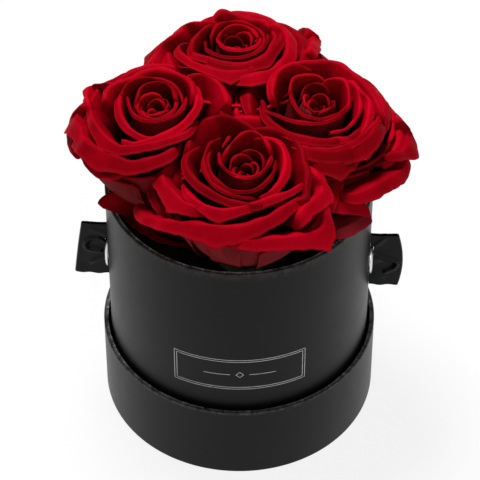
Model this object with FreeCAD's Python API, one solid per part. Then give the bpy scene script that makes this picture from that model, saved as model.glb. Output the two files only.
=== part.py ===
import FreeCAD, Part
import math
import os

# Round flower box with four preserved roses, standing in its own upturned lid.
# Millimetres and degrees, +Z up. The origin is the centre of the underside, on the surface that it stands on.

Vector = FreeCAD.Vector
ORIGIN = Vector(0, 0, 0)
UP = Vector(0, 0, 1)

# Driving dimensions of the box and its lid
BOX_RADIUS = 55.0
BOX_RIM = 118.0
LID_RADIUS = 58.2
LID_RIM = 38.0
BOARD = 1.5
WRAP = 0.25
LINER = 0.2
TURN_IN = 16.0
FOOT_TURN_IN = 12.0
FOOT_PAPER_INSET = 1.5
NOTCH_COUNT = 36
NOTCH_WIDTH = 0.4
NOTCH_TO_EDGE = 0.5

# Driving dimensions of the eyelets, and of the knots that hold the ribbons behind them
EYELET_HEIGHT = 74.0
EYELET_BORE = 3.9
EYELET_BARREL = 4.5
EYELET_FLANGE = 7.0
EYELET_CROWN = 5.2
EYELET_STAND = 1.3
EYELET_LIP = 0.5
EYELET_EDGE = 0.4
EYELET_CURL = 0.85
EYELET_CURL_WIDTH = 1.0
EYELET_CURL_CROWN = (0.6, 0.77)
WASHER_RADIUS = 6.4
WASHER_THICK = 0.6
FIT_GAP = 0.05
KNOT_RADIUS = 6.2
KNOT_SHOULDER = 1.0
KNOT_GAP = 0.35
NECK_GAP = 0.2
NECK_SUNK = 0.3

# Driving dimensions of the satin loops
RIBBON_WIDTH = 29.0
RIBBON_CLOTH = 0.4
RIBBON_BULGE = 1.0
RIBBON_GAP = 0.45
GAP_SPAN = (0.0, 0.25)
RIBBON_NECK_TURN = 86.0
RIBBON_FLANGE_GAP = 1.0
RIDGE_HEIGHT = 0.8
RIDGE_WIDTH = 0.28
DENT_DEPTH = 0.7
DENT_SPAN = (0.2, 0.95)
FOLD_SPAN = (0.08, 0.4)
NECK_SPAN = (0.75, 1.0)
NECK_CALM = 0.6

# Each loop's reach from the wall at its top and bottom edges and its middle, then the place and
# half-lengths of the ridge round the dent where the cloth is drawn into the eyelet
RIBBON_LOOPS = {
    "left": {"side": -1, "reach": (10.8, 14.8, 13.0), "ridge": (3.0, 2.4, 6.2, 3.6)},
    "right": {"side": 1, "reach": (11.3, 12.6, 13.4), "ridge": (3.5, -1.0, 7.2, 4.2)},
}

# Driving dimensions of the foam, the stems and the receptacles
FOAM_TOP = 84.0
FOAM_GAP = 0.4
CHANNEL_ROOM = 2.0
STEM_RADIUS = 2.6
STEM_LENGTH = 40.0
CALYX_LENGTH = 10.0
CALYX_LAYER = 6.6
CALYX_COVER = 0.6
CALYX_BRIM = 0.5
CALYX_WAIST = 0.8
HIP_DEPTH = 6.0
BRIM_DEPTH = 2.0
ANKLE = 1.2

# Where the middle of each bud lies, and how far the whorls are turned about the rose's axis
ROSES = {
    "front_rose": (3.7, -33.5, 157.0, 20.0),
    "right_rose": (31.5, 3.0, 160.0, 95.0),
    "back_rose": (-3.0, 35.5, 161.0, 150.0),
    "left_rose": (-34.0, -3.0, 160.0, 250.0),
}
ROSE_LEAN = 8.0
BUD_HEIGHT = 40.0

# Whorls from the middle of the bud outwards: the whorl's layer, which runs from 0 in the bud to about 6
# outside, the number of petals, half the angle that a petal spans, and how far its edges tuck in and out
WHORLS = {
    "bud": [(-0.3, 2, 80.0, 0.12), (0.35, 3, 84.0, 0.22), (1.15, 3, 84.0, 0.24)],
    "inner_petals": [(1.95, 3, 80.0, 0.3), (2.85, 4, 66.0, 0.28)],
    "middle_petals": [(3.75, 5, 56.0, 0.28)],
}
WHORL_TURN = 137.5

# Guard petals, placed one by one: direction, layer and half the angle spanned
GUARD_PETALS = {
    "front_rose": [(-87, 4.75, 56), (-18, 5.45, 40), (-150, 5.45, 42), (-29, 6.3, 38),
                   (-170, 6.2, 36), (35, 4.75, 42), (95, 5.5, 46), (155, 4.75, 46)],
    "right_rose": [(-4, 6.0, 38), (-58, 6.5, 36), (-65, 4.75, 48), (35, 5.4, 46),
                   (81, 4.75, 50), (150, 5.5, 46), (195, 4.75, 46)],
    "back_rose": [(173, 5.9, 46), (31, 5.9, 44), (105, 4.75, 54), (-80, 4.75, 52),
                  (235, 5.3, 44), (-25, 5.3, 44), (100, 5.4, 36)],
    "left_rose": [(170, 5.5, 44), (130, 4.75, 50), (-107, 4.75, 52), (-148, 5.6, 42),
                  (60, 5.5, 44), (5, 4.75, 48), (-55, 5.5, 42)],
}

# A petal's midline, as powers of its layer from the lowest up: radius and height of its base and its rim,
# the angles at which it rises and flares, and the shares of its chord over which it keeps them
BASE_RADIUS = (1.5, 1.4)
BASE_HEIGHT = (-13.0, -0.6)
RIM_RADIUS = (3.0, 5.0, 0.2)
RIM_HEIGHT = (38.0, 5.5, -0.95, -0.062)
RISE_ANGLE = (64.0, -7.5)
FLARE_ANGLE = (110.0, -12.0, -0.6)
BELLY_SHARE = (0.30, 0.018)
NECK_SHARE = (0.40, -0.012)
PETAL_LENGTH = 56.0
PETAL_THICK = 0.3

# A petal's outline: how high its sides reach, its pointed tip, and the narrow claw at its base
SIDE_SHARE = 0.66
TIP_SHARE = 0.05
TIP_WIDTH = 0.2
TIP_LAYERS = (1.5, 4.5)
CLAW_SHARE = 0.5
CLAW_LENGTH = 0.55
OVERLAP = 1.06
OUTLINE_TURN = 80.0

# A petal's rolled rim: its width and turn by layer, both less at the sides, and free to turn all round
# on the outermost petals, which nothing lies against
ROLL_WIDTH = (3.5, 0.7)
ROLL_TURN = (28.0, 12.0)
ROLL_SIDE_WIDTH = 0.3
ROLL_SIDE_TURN = 0.06
FREE_LAYER = 5.6

# Petals open less towards the neighbouring roses, and flatten against upright planes that part the roses
NEIGHBOUR_SIDE = 135.0
NEIGHBOUR_SPREAD = 40.0
NEIGHBOUR_PRESS = 0.31
OUTER_LAYER = 6.0
QUARTER_TURN = 5.3
QUARTER_GAP = 0.3
QUARTER_SOFT = 3.5

# Clearance of the petals inside the wall, and how fast they may spread above the rim
WALL_GAP = 0.6
WALL_SOFT = 4.0
RIM_SPREAD = 2.0

# Points across and along a petal or a ribbon, which smooth faces pass through
PETAL_GRID = (11, 14)
RIBBON_GRID = (33, 21)
SMALL_STEP = 1e-3

# Levels that follow from the thicknesses of board and paper
lid_board_z = LINER + WRAP
lid_lining_z = lid_board_z + BOARD
box_foot_z = lid_lining_z + LINER
box_board_z = box_foot_z + LINER + WRAP
box_lining_z = box_board_z + BOARD
box_inner = BOX_RADIUS - WRAP - BOARD - WRAP
box_lining_inner = BOX_RADIUS - WRAP - BOARD - LINER

os.makedirs("parts", exist_ok=True)


def save(name, shape):
    """Writes one sub-part, which may be several separate solids."""
    shape.exportStep(os.path.join("parts", name + ".step"))


def disc(radius, z_low, z_high):
    return Part.makeCylinder(radius, z_high - z_low, Vector(0, 0, z_low), UP)


def turned(edges):
    """Solid of revolution of a closed outline in the XZ plane about the Z axis."""
    return Part.Face(Part.Wire(edges)).revolve(ORIGIN, UP, 360)


def straight(points):
    """Straight edges from each (radius, height) point to the next."""
    corners = [Vector(r, 0, z) for r, z in points]
    return [Part.LineSegment(a, b).toShape() for a, b in zip(corners, corners[1:])]


def arc(start, middle, end):
    """Round edge through three (radius, height) points."""
    return Part.Arc(*[Vector(r, 0, z) for r, z in (start, middle, end)]).toShape()


def clamp(value):
    return min(1.0, max(0.0, value))


def smooth_step(span, value):
    share = clamp((value - span[0]) / (span[1] - span[0]))
    return share * share * (3 - 2 * share)


def eyelet_holes():
    """One drill through both sides of the wall, for the eyelets."""
    reach = 2 * LID_RADIUS
    start = Vector(-reach / 2, 0, EYELET_HEIGHT)
    return Part.makeCylinder(EYELET_BARREL + FIT_GAP, reach, start, Vector(1, 0, 0))


# Paper, board and lining of a round box

def wrap_paper(radius, foot_z, rim_z):
    """Outer paper: turned under the foot, up the wall, over the rim and notched where it turns in."""
    skin = radius - WRAP
    inner = radius - 2 * WRAP - BOARD
    foot_edge = radius - FOOT_TURN_IN
    paper = turned(straight([
        (foot_edge, foot_z),
        (radius, foot_z),
        (radius, rim_z),
        (inner, rim_z),
        (inner, rim_z - TURN_IN),
        (inner + WRAP, rim_z - TURN_IN),
        (inner + WRAP, rim_z - WRAP),
        (skin, rim_z - WRAP),
        (skin, foot_z + WRAP),
        (foot_edge, foot_z + WRAP),
        (foot_edge, foot_z),
    ]))
    depth = radius - NOTCH_TO_EDGE - inner + WRAP
    notches = []
    for k in range(NOTCH_COUNT):
        notch = Part.makeBox(depth, NOTCH_WIDTH, TURN_IN + WRAP)
        notch.translate(Vector(inner - WRAP, -NOTCH_WIDTH / 2, rim_z - TURN_IN))
        notch.rotate(ORIGIN, UP, 360.0 * (k + 0.5) / NOTCH_COUNT)
        notches.append(notch)
    within_skin = disc(skin, rim_z - 2 * TURN_IN, rim_z - WRAP)
    within_rim = disc(radius, rim_z - WRAP, rim_z + WRAP)
    cutter = Part.makeCompound(notches).common(Part.makeCompound([within_skin, within_rim]))
    return paper.cut(cutter)


def foot_paper(radius, foot_z):
    """Disc of paper under the foot, thicker in the middle, inside the step of the turned-in wrap."""
    edge = radius - FOOT_PAPER_INSET
    middle = radius - FOOT_TURN_IN
    return turned(straight([
        (0, foot_z),
        (edge, foot_z),
        (edge, foot_z + LINER),
        (middle, foot_z + LINER),
        (middle, foot_z + LINER + WRAP),
        (0, foot_z + LINER + WRAP),
        (0, foot_z),
    ]))


def side_board(radius, low_z, rim_z):
    """Rolled board of the wall."""
    outer = radius - WRAP
    return disc(outer, low_z, rim_z - WRAP).cut(disc(outer - BOARD, low_z, rim_z))


def lining_paper(radius, floor_z, rim_z):
    """Paper over the inside of the floor and up the wall as far as the turned-in wrap."""
    outer = radius - WRAP - BOARD
    top = rim_z - TURN_IN
    return turned(straight([
        (0, floor_z),
        (outer, floor_z),
        (outer, top),
        (outer - LINER, top),
        (outer - LINER, floor_z + LINER),
        (0, floor_z + LINER),
        (0, floor_z),
    ]))


def make_lid():
    save("lid_panel_paper", foot_paper(LID_RADIUS, 0))
    save("lid_wrap_paper", wrap_paper(LID_RADIUS, LINER, LID_RIM))
    save("lid_panel_board", disc(LID_RADIUS - WRAP, lid_board_z, lid_lining_z))
    save("lid_side_board", side_board(LID_RADIUS, lid_lining_z, LID_RIM))
    save("lid_lining_paper", lining_paper(LID_RADIUS, lid_lining_z, LID_RIM))


def make_box():
    holes = eyelet_holes()
    save("box_foot_paper", foot_paper(BOX_RADIUS, box_foot_z))
    save("box_wrap_paper", wrap_paper(BOX_RADIUS, box_foot_z + LINER, BOX_RIM).cut(holes))
    save("box_floor_board", disc(BOX_RADIUS - WRAP, box_board_z, box_lining_z))
    save("box_side_board", side_board(BOX_RADIUS, box_lining_z, BOX_RIM).cut(holes))
    save("box_lining_paper", lining_paper(BOX_RADIUS, box_lining_z, BOX_RIM).cut(holes))


# Eyelets, washers, knots and ribbon loops, one of each at both ends of the X axis

def on_side(shape, side):
    """Turns a shape that is built up +Z so that it points out of the wall at the eyelet's height."""
    placed = shape.copy()
    placed.Placement = FreeCAD.Placement(
        Vector(0, 0, EYELET_HEIGHT), FreeCAD.Rotation(UP, Vector(side, 0, 0))
    )
    return placed


def washer_face():
    """How far out a flat washer can lie before its edge meets the round lining."""
    return math.sqrt(box_lining_inner ** 2 - WASHER_RADIUS ** 2)


def eyelet(side):
    """Pressed eyelet: a domed flange outside, a barrel through the wall and a curl over the washer inside."""
    curl_face = washer_face() - WASHER_THICK
    foot = (EYELET_BORE, curl_face - EYELET_CURL)
    top = BOX_RADIUS + EYELET_STAND
    mouth = (EYELET_BORE, top - EYELET_LIP)
    crown = (EYELET_CROWN, top)
    edge = (EYELET_FLANGE, BOX_RADIUS + EYELET_EDGE)
    curl_edge = (EYELET_BARREL + EYELET_CURL_WIDTH, curl_face)
    curl_crown = (EYELET_BARREL + EYELET_CURL_CROWN[0], curl_face - EYELET_CURL_CROWN[1])
    edges = straight([foot, mouth])
    edges.append(arc(mouth, crown, edge))
    edges += straight([
        edge,
        (EYELET_FLANGE, BOX_RADIUS),
        (EYELET_BARREL, BOX_RADIUS),
        (EYELET_BARREL, curl_face),
        curl_edge,
    ])
    edges.append(arc(curl_edge, curl_crown, foot))
    return on_side(turned(edges), side)


def washer(side):
    face = washer_face()
    ring = disc(WASHER_RADIUS, face - WASHER_THICK, face)
    return on_side(ring.cut(disc(EYELET_BARREL + FIT_GAP, 0, BOX_RADIUS)), side)


def ribbon_knot(side):
    """The ribbon's gathered neck in the eyelet's bore, with the knot that stops it inside the wall."""
    neck = EYELET_BORE - NECK_GAP
    knot_top = washer_face() - WASHER_THICK - EYELET_CURL - KNOT_GAP
    brow = (neck + KNOT_SHOULDER, knot_top)
    knot_middle = knot_top - math.sqrt(KNOT_RADIUS ** 2 - brow[0] ** 2)
    foot = (0, knot_middle - KNOT_RADIUS)
    neck_top = BOX_RADIUS + EYELET_STAND - NECK_SUNK
    edges = straight([foot, (0, neck_top), (neck, neck_top - EYELET_LIP), (neck, knot_top), brow])
    edges.append(arc(brow, (KNOT_RADIUS, knot_middle), foot))
    return on_side(turned(edges), side)


def ribbon_point(loop, along, across):
    """Point of a satin loop, for along from -1 to 1 round the loop and across from -1 to 1 up its width."""
    height = across * RIBBON_WIDTH / 2
    top_reach, foot_reach, middle_reach = loop["reach"]
    mean_reach = 0.5 * (top_reach + foot_reach)
    reach = mean_reach + 0.5 * (top_reach - foot_reach) * across
    reach += (middle_reach - mean_reach) * (1 - across ** 2)
    start = EYELET_STAND + RIBBON_FLANGE_GAP
    turn = math.radians(RIBBON_NECK_TURN) * along
    neck = math.cos(math.radians(RIBBON_NECK_TURN))
    out = start + (reach - start) * (math.cos(turn) - neck) / (1 - neck)
    swell = RIBBON_BULGE * math.sin(2 * turn)
    swell += math.copysign(RIBBON_GAP * smooth_step(GAP_SPAN, abs(along)), along)
    ridge_out, ridge_up, half_out, half_up = loop["ridge"]
    if along > 0:
        ridge_up = -ridge_up
    ring = math.hypot((out - ridge_out) / half_out, (height - ridge_up) / half_up)
    crease = RIDGE_HEIGHT * math.exp(-((ring - 1) / RIDGE_WIDTH) ** 2)
    crease -= DENT_DEPTH * (1 - smooth_step(DENT_SPAN, ring))
    crease *= smooth_step(FOLD_SPAN, abs(along)) * (1 - NECK_CALM * smooth_step(NECK_SPAN, abs(along)))
    return Vector(BOX_RADIUS + out, swell + math.copysign(crease, along), height)


def ribbon_loop(loop):
    """One folded band of satin, standing on edge, drawn in where it enters the eyelet."""
    rows, columns = RIBBON_GRID
    turn = 0 if loop["side"] > 0 else 180
    place = FreeCAD.Placement(Vector(0, 0, EYELET_HEIGHT), FreeCAD.Rotation(UP, turn))

    def point(along, across):
        return place.multVec(ribbon_point(loop, along, across))

    return thin_solid(point, spaced(rows), spaced(columns), RIBBON_CLOTH)


def make_trim():
    for name, loop in RIBBON_LOOPS.items():
        side = loop["side"]
        save(name + "_eyelet", eyelet(side))
        save(name + "_eyelet_washer", washer(side))
        save(name + "_ribbon_knot", ribbon_knot(side))
        save(name + "_ribbon_loop", ribbon_loop(loop))


# Thin curved sheets, for the petals and the ribbons

def spaced(count, low=-1.0, high=1.0):
    return [low + (high - low) * k / (count - 1) for k in range(count)]


def thin_solid(point, first, second, thickness):
    """Solid of even thickness about the surface point(a, b), through the given steps of a and b."""
    front, back = [], []
    for a in first:
        middles = [point(a, b) for b in second]
        offsets = [surface_normal(point, a, b, first, second) * (thickness / 2) for b in second]
        front.append([middle + offset for middle, offset in zip(middles, offsets)])
        back.append([middle - offset for middle, offset in zip(middles, offsets)])
    return sheet_solid(front, back)


def surface_normal(point, a, b, first, second):
    low_a, high_a = max(first[0], a - SMALL_STEP), min(first[-1], a + SMALL_STEP)
    low_b, high_b = max(second[0], b - SMALL_STEP), min(second[-1], b + SMALL_STEP)
    along_a = point(high_a, b) - point(low_a, b)
    along_b = point(a, high_b) - point(a, low_b)
    return along_a.cross(along_b).normalize()


def ruled_face(near, far):
    """Face of straight lines from one curve to another, which are first given the same knots."""
    for curve in (near, far):
        curve.scaleKnotsToBounds(0.0, 1.0)
    near_knots, near_counts = near.getKnots(), near.getMultiplicities()
    near.insertKnots(far.getKnots(), far.getMultiplicities(), 0.0, False)
    far.insertKnots(near_knots, near_counts, 0.0, False)
    surface = Part.BSplineSurface()
    surface.buildFromPolesMultsKnots(
        [near.getPoles(), far.getPoles()],
        [2, 2], near.getMultiplicities(),
        [0.0, 1.0], near.getKnots(),
        False, False, 1, near.Degree,
    )
    return surface.toShape()


def sheet_solid(front_points, back_points):
    """Closes two facing grids of points into one solid with smooth faces and ruled edges."""
    front, back = Part.BSplineSurface(), Part.BSplineSurface()
    front.interpolate(front_points)
    back.interpolate(back_points)
    u0, u1, v0, v1 = front.bounds()
    bu0, bu1, bv0, bv1 = back.bounds()
    borders = [
        (front.uIso(u0), back.uIso(bu0)),
        (front.uIso(u1), back.uIso(bu1)),
        (front.vIso(v0), back.vIso(bv0)),
        (front.vIso(v1), back.vIso(bv1)),
    ]
    faces = [front.toShape(), back.toShape()]
    faces += [ruled_face(near, far) for near, far in borders]
    shell = Part.makeShell(faces)
    shell.sewShape()
    solid = Part.makeSolid(shell)
    if solid.Volume < 0:
        solid.reverse()
    if not solid.isValid():
        raise ValueError("a thin sheet did not close")
    return solid


# Roses. Petals of neighbouring layers follow neighbouring curves, so that they lie against each other
# without crossing.

def by_layer(powers, layer):
    """Value of a polynomial of the petal's layer."""
    return sum(factor * layer ** power for power, factor in enumerate(powers))


def bezier(a, b, c, d, t):
    s = 1 - t
    return s ** 3 * a + 3 * s * s * t * b + 3 * s * t * t * c + t ** 3 * d


def petal_profile(layer, t):
    """Radius and height of a petal's midline, from the receptacle at t = 0 to the rim at t = 1."""
    base_r, base_z = by_layer(BASE_RADIUS, layer), by_layer(BASE_HEIGHT, layer)
    rim_r, rim_z = by_layer(RIM_RADIUS, layer), by_layer(RIM_HEIGHT, layer)
    rise = math.radians(by_layer(RISE_ANGLE, layer))
    flare = math.radians(by_layer(FLARE_ANGLE, layer))
    chord = math.hypot(rim_r - base_r, rim_z - base_z)
    belly = by_layer(BELLY_SHARE, layer) * chord
    neck = by_layer(NECK_SHARE, layer) * chord
    radius = bezier(base_r, base_r + belly * math.cos(rise), rim_r - neck * math.cos(flare), rim_r, t)
    height = bezier(base_z, base_z + belly * math.sin(rise), rim_z - neck * math.sin(flare), rim_z, t)
    return radius, height


def rolled_profile(layer, t, t_edge, roll_width, roll_turn):
    """The midline with its last stretch rolled outwards, as the rim of a petal curls."""
    t_roll = t_edge - roll_width / PETAL_LENGTH
    if t <= t_roll:
        return petal_profile(layer, t)
    r, z = petal_profile(layer, t_roll)
    r_before, z_before = petal_profile(layer, t_roll - SMALL_STEP)
    step = math.hypot(r - r_before, z - z_before)
    along_r, along_z = (r - r_before) / step, (z - z_before) / step
    bend = roll_width / roll_turn
    turn = (t - t_roll) * PETAL_LENGTH / bend
    ahead, aside = bend * math.sin(turn), bend * (1 - math.cos(turn))
    return r + along_r * ahead + along_z * aside, z + along_z * ahead - along_r * aside


def pressed_layer(layer, direction, outward):
    """A petal's layer where a neighbouring rose keeps it from opening."""
    away = abs((direction - outward + 180.0) % 360.0 - 180.0)
    press = NEIGHBOUR_PRESS * math.exp(-(((away - NEIGHBOUR_SIDE) / NEIGHBOUR_SPREAD) ** 2))
    return layer * (1 - press * math.sqrt(max(layer, 0) / OUTER_LAYER))


def petal_point(layer, middle, half_angle, tuck, outward, turn, along):
    """Point in the rose's own frame, at an angle turn round the petal's outline and a share along it."""
    across, level = math.sin(turn), math.cos(turn)
    claw = CLAW_SHARE + (1 - CLAW_SHARE) * math.sin(math.pi / 2 * clamp(along / CLAW_LENGTH))
    direction = middle + across * OVERLAP * half_angle * claw
    own_layer = pressed_layer(layer + tuck * across, direction, outward)
    pointed = clamp((layer - TIP_LAYERS[0]) / (TIP_LAYERS[1] - TIP_LAYERS[0]))
    tip = TIP_SHARE * pointed * math.exp(-((across / TIP_WIDTH) ** 2))
    t_edge = SIDE_SHARE + (1 - SIDE_SHARE) * level + tip
    freedom = 1.0 if layer > FREE_LAYER else ROLL_SIDE_TURN + (1 - ROLL_SIDE_TURN) * level ** 3
    roll_width = by_layer(ROLL_WIDTH, own_layer) * (ROLL_SIDE_WIDTH + (1 - ROLL_SIDE_WIDTH) * level)
    roll_turn = math.radians(by_layer(ROLL_TURN, own_layer)) * freedom
    radius, height = rolled_profile(own_layer, along * t_edge, t_edge, roll_width, roll_turn)
    angle = math.radians(direction)
    return Vector(radius * math.cos(angle), radius * math.sin(angle), height)


def keep_in_quarter(point, outward):
    """Flattens a petal against the upright planes that part its rose from the two beside it."""
    middle = QUARTER_TURN + 90.0 * round((outward - QUARTER_TURN) / 90.0)
    soft = QUARTER_SOFT - QUARTER_GAP
    for side in (-45.0, 45.0):
        angle = math.radians(middle + side)
        normal = Vector(math.cos(angle), math.sin(angle), 0)
        depth = point.dot(normal)
        if depth < QUARTER_SOFT:
            point = point + normal * (QUARTER_GAP + soft * math.exp((depth - QUARTER_SOFT) / soft) - depth)
    return point


def keep_in_wall(point):
    """Bends a petal inwards where it would cross the wall, and lets it spread above the rim."""
    limit = box_inner - WALL_GAP + RIM_SPREAD * max(0.0, point.z - BOX_RIM - WALL_GAP)
    radius = math.hypot(point.x, point.y)
    excess = radius - (limit - WALL_SOFT)
    if excess <= 0:
        return point
    scale = (limit - WALL_SOFT * math.exp(-excess / WALL_SOFT)) / radius
    return Vector(point.x * scale, point.y * scale, point.z)


def petal(place, outward, layer, middle, half_angle, tuck):
    """One thin petal, in the box's frame."""
    limit = math.radians(OUTLINE_TURN)
    across, along = PETAL_GRID

    def point(turn, share):
        local = petal_point(layer, middle, half_angle, tuck, outward, turn, share)
        return keep_in_wall(keep_in_quarter(place.multVec(local), outward))

    return thin_solid(point, spaced(across, -limit, limit), spaced(along, 0.0, 1.0), PETAL_THICK)


def rose_frame(bud_x, bud_y, bud_z):
    """Placement of a rose whose axis leans out of the box, and the direction in which it leans."""
    outward = math.atan2(bud_y, bud_x)
    across = Vector(-math.sin(outward), math.cos(outward), 0)
    lean = FreeCAD.Rotation(across, ROSE_LEAN)
    origin = Vector(bud_x, bud_y, bud_z) - lean.multVec(UP) * BUD_HEIGHT
    return FreeCAD.Placement(origin, lean), math.degrees(outward)


def calyx_levels():
    """Outer radius and height of the receptacle's edge, and the height of the calyx's foot."""
    edge_z = by_layer(BASE_HEIGHT, CALYX_LAYER)
    return by_layer(BASE_RADIUS, CALYX_LAYER), edge_z, edge_z - CALYX_LENGTH


def calyx():
    """Receptacle with a conical top, which the petals are set into, over a swollen hip."""
    edge_r, edge_z, foot_z = calyx_levels()
    slope = BASE_HEIGHT[1] / BASE_RADIUS[1]
    peak = (0, BASE_HEIGHT[0] - slope * BASE_RADIUS[0] + CALYX_COVER)
    brim = (edge_r + CALYX_BRIM, edge_z + slope * CALYX_BRIM + CALYX_COVER)
    under = (edge_r, edge_z - BRIM_DEPTH)
    hip = (CALYX_WAIST * edge_r, edge_z - HIP_DEPTH)
    ankle = (STEM_RADIUS + ANKLE, foot_z)
    edges = straight([(0, foot_z), peak, brim, under])
    edges.append(arc(under, hip, ankle))
    edges += straight([ankle, (0, foot_z)])
    return turned(edges)


def stem(radius, above=0.0):
    """Straight stem below the calyx, or the drill for its hole, which also runs up above the stem."""
    foot_z = calyx_levels()[2]
    return Part.makeCylinder(radius, STEM_LENGTH + above, Vector(0, 0, foot_z - STEM_LENGTH), UP)


def make_rose(name):
    bud_x, bud_y, bud_z, turn = ROSES[name]
    place, outward = rose_frame(bud_x, bud_y, bud_z)
    for group, whorls in WHORLS.items():
        petals = []
        for layer, count, half_angle, tuck in whorls:
            for k in range(count):
                petals.append(petal(place, outward, layer, turn + 360.0 * k / count, half_angle, tuck))
            turn += WHORL_TURN
        save(name + "_" + group, Part.makeCompound(petals))
    guards = [
        petal(place, outward, layer, direction, half_angle, 0.0)
        for direction, layer, half_angle in GUARD_PETALS[name]
    ]
    save(name + "_outer_petals", Part.makeCompound(guards))
    for piece, shape in (("calyx", calyx()), ("stem", stem(STEM_RADIUS))):
        shape.Placement = place
        save(name + "_" + piece, shape)


def make_foam():
    """Dry foam plug with the stems' holes, and a channel at each side for the ribbon's knot."""
    foam = disc(box_lining_inner - FOAM_GAP, box_lining_z + LINER, FOAM_TOP)
    for bud_x, bud_y, bud_z, turn in ROSES.values():
        hole = stem(STEM_RADIUS + FIT_GAP, above=CALYX_LENGTH)
        hole.Placement = rose_frame(bud_x, bud_y, bud_z)[0]
        foam = foam.cut(hole)
    half_width = KNOT_RADIUS + CHANNEL_ROOM
    depth = 2 * half_width + CHANNEL_ROOM
    start = Vector(BOX_RADIUS - depth, -half_width, EYELET_HEIGHT - half_width)
    for turn in (0, 180):
        channel = Part.makeBox(depth, 2 * half_width, FOAM_TOP, start)
        channel.rotate(ORIGIN, UP, turn)
        foam = foam.cut(channel)
    save("foam_plug", foam)


make_lid()
make_box()
make_trim()
make_foam()
for rose_name in ROSES:
    make_rose(rose_name)
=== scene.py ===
import math

import bpy
import numpy as np
from mathutils import Matrix, Vector


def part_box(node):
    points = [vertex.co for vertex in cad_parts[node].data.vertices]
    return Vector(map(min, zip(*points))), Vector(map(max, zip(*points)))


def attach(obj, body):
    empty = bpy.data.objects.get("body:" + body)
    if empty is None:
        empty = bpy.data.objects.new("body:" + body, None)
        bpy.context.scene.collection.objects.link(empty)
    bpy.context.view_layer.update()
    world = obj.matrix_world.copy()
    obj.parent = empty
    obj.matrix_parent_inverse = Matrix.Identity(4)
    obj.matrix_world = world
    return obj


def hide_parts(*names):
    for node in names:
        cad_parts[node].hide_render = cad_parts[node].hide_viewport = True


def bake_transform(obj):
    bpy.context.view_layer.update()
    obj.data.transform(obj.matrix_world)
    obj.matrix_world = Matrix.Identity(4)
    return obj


# Looks of a round flower box that stands in its own upturned lid: paper, foil, satin, metal and roses.
# Lengths are millimetres and angles degrees until a mesh is made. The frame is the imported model's own.

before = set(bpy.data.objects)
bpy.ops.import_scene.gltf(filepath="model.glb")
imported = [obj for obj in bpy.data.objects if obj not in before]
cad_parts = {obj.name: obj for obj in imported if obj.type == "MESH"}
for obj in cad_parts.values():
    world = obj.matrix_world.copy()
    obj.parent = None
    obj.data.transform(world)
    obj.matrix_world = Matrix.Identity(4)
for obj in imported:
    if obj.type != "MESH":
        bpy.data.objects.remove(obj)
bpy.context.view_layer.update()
MM = 0.001
rng = np.random.default_rng(11)

# Camera, fitted to the rims and edges of the box in the photograph
PHOTO = 480
CAMERA_TARGET = np.array((0.385, 0.0, 81.8))
CAMERA_TURN = 2.5
CAMERA_RISE = 45.53
CAMERA_DISTANCE = 1049.4
LENS = 187.9
SENSOR = 36.0

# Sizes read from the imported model
box_low, box_high = (np.array(corner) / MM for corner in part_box("box_wrap_paper"))
lid_low, lid_high = (np.array(corner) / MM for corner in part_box("lid_wrap_paper"))
board_high = np.array(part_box("box_side_board")[1]) / MM
BOX_RADIUS, BOX_FOOT, BOX_RIM = box_high[0], box_low[2], box_high[2]
LID_RADIUS, LID_FOOT, LID_RIM = lid_high[0], lid_low[2], lid_high[2]
PAPER = BOX_RADIUS - board_high[0]

# Paper that is wrapped over the board and turned in at the rim with notches
TURN_IN = 16.0
FOOT_TURN_IN = 12.0
BOARD = 1.5
NOTCHES = 36
ROUND_EDGE, CORNER_POINTS = 0.55, 7
WALL_SHARES = np.linspace(0.04, 0.96, 14)
TURN_IN_DEPTHS = (1.2, 2.4, 5.0, 9.0, TURN_IN)


def unit(vector):
    return vector / np.linalg.norm(vector, axis=-1, keepdims=True)


def turned_vector(direction, rise=0.0):
    a, e = np.radians(direction), np.radians(rise)
    return np.stack([np.cos(a) * np.cos(e), np.sin(a) * np.cos(e), np.sin(e) + 0 * a], -1)


def smooth_step(low, high, value):
    share = np.clip((value - low) / (high - low), 0, 1)
    return share * share * (3 - 2 * share)


camera_back = turned_vector(CAMERA_TURN - 90.0, CAMERA_RISE)
camera_at = CAMERA_TARGET + CAMERA_DISTANCE * camera_back
camera_right = turned_vector(CAMERA_TURN)
camera_up = np.cross(camera_back, camera_right)


def under_pixel(x, y, heights):
    """Points under a pixel of the photograph, at heights over the floor."""
    side = (x - PHOTO / 2) / PHOTO * SENSOR / LENS
    rise = (PHOTO / 2 - y) / PHOTO * SENSOR / LENS
    ray = side * camera_right + rise * camera_up - camera_back
    return camera_at + np.multiply.outer((heights - camera_at[2]) / ray[2], ray)


# Meshes

def add_piece(name, points, faces, materials, body=None, face_materials=None, attributes=None):
    """Piece with smooth faces, from points in millimetres."""
    mesh = bpy.data.meshes.new(name)
    mesh.from_pydata((np.asarray(points) * MM).tolist(), [], [list(map(int, face)) for face in faces])
    for material in materials:
        mesh.materials.append(material)
    if face_materials is not None:
        mesh.polygons.foreach_set("material_index", np.asarray(face_materials, np.int32))
    mesh.polygons.foreach_set("use_smooth", np.ones(len(mesh.polygons), bool))
    for key, values in (attributes or {}).items():
        layer = mesh.attributes.new(key, "FLOAT", "POINT")
        layer.data.foreach_set("value", np.asarray(values, np.float32))
    mesh.update()
    piece = bpy.data.objects.new(name, mesh)
    bpy.context.scene.collection.objects.link(piece)
    if body:
        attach(piece, body)
    return piece


def grid_faces(rows, columns, close_rows=False, close_columns=False):
    """Quads of a grid of points, numbered row by row."""
    i, j = np.indices((rows - (not close_rows), columns - (not close_columns))).reshape(2, -1)
    i2, j2 = (i + 1) % rows, (j + 1) % columns
    return np.stack([i * columns + j, i2 * columns + j, i2 * columns + j2, i * columns + j2], 1)


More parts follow.
